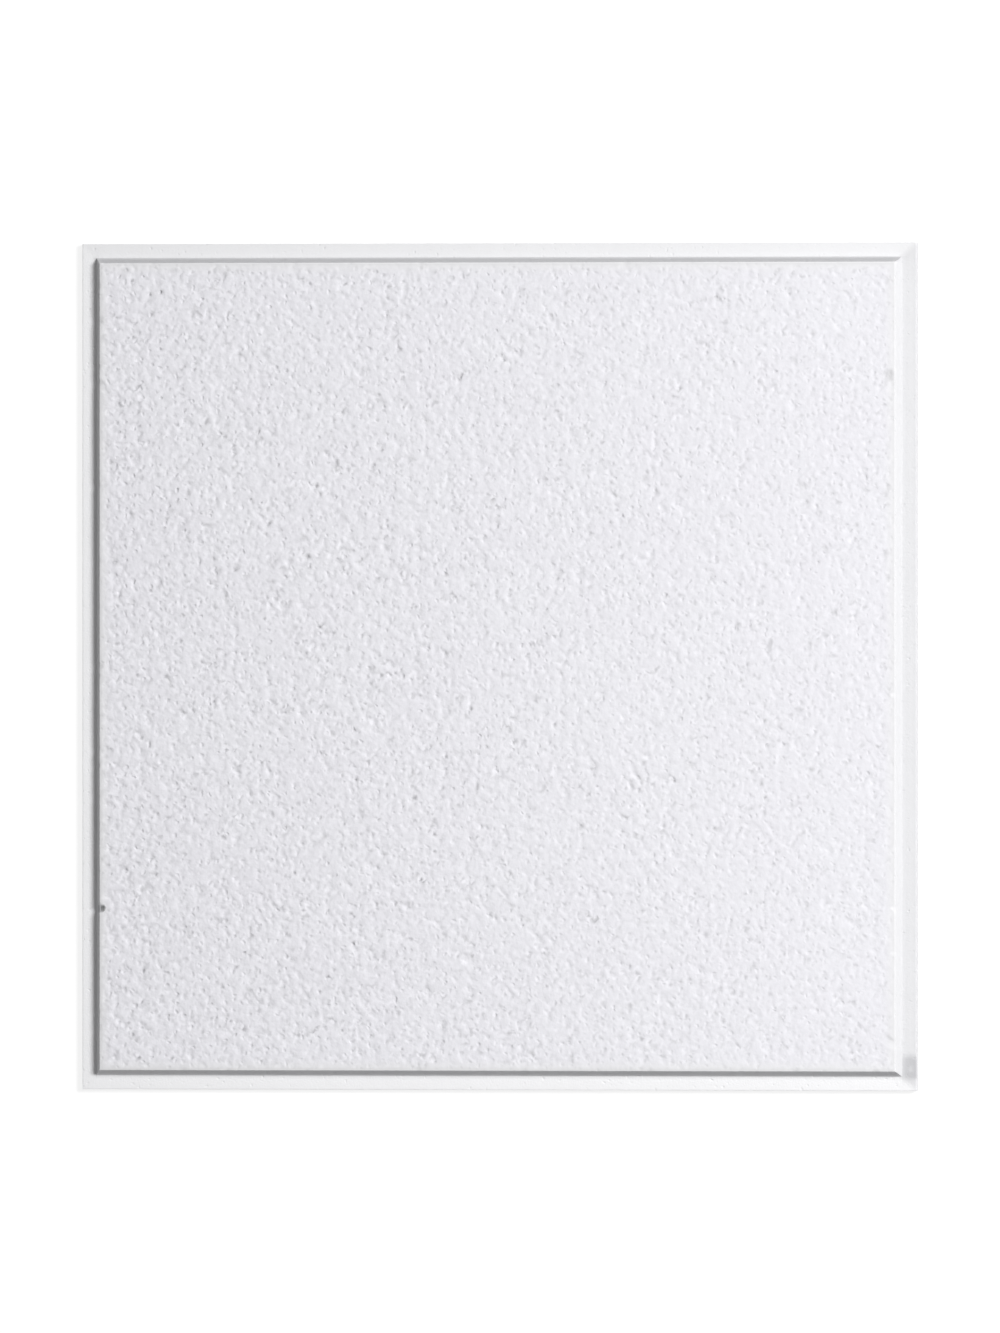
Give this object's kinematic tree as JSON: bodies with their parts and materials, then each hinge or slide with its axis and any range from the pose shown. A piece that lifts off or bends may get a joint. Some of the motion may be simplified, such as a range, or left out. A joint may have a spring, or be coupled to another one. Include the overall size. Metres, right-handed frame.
{
  "type": "suspended ceiling tile",
  "caption": "Square mineral fibre ceiling tile with a pitted white face that drops through a stepped, angled edge, and a ledge all round that rests on a tee grid.",
  "frame": {"origin": "centre of the tile's back, on the surface that it lies on", "axes": "+Z out of the pitted room side, +X and +Y along the sides; the picture's right is +X and its top is +Y"},
  "size_m": [0.594, 0.594, 0.015],
  "materials": {
    "tile_board": "matte"
  },
  "bodies": {
    "root": {"tile": "tile_board"}
  },
  "joints": []
}
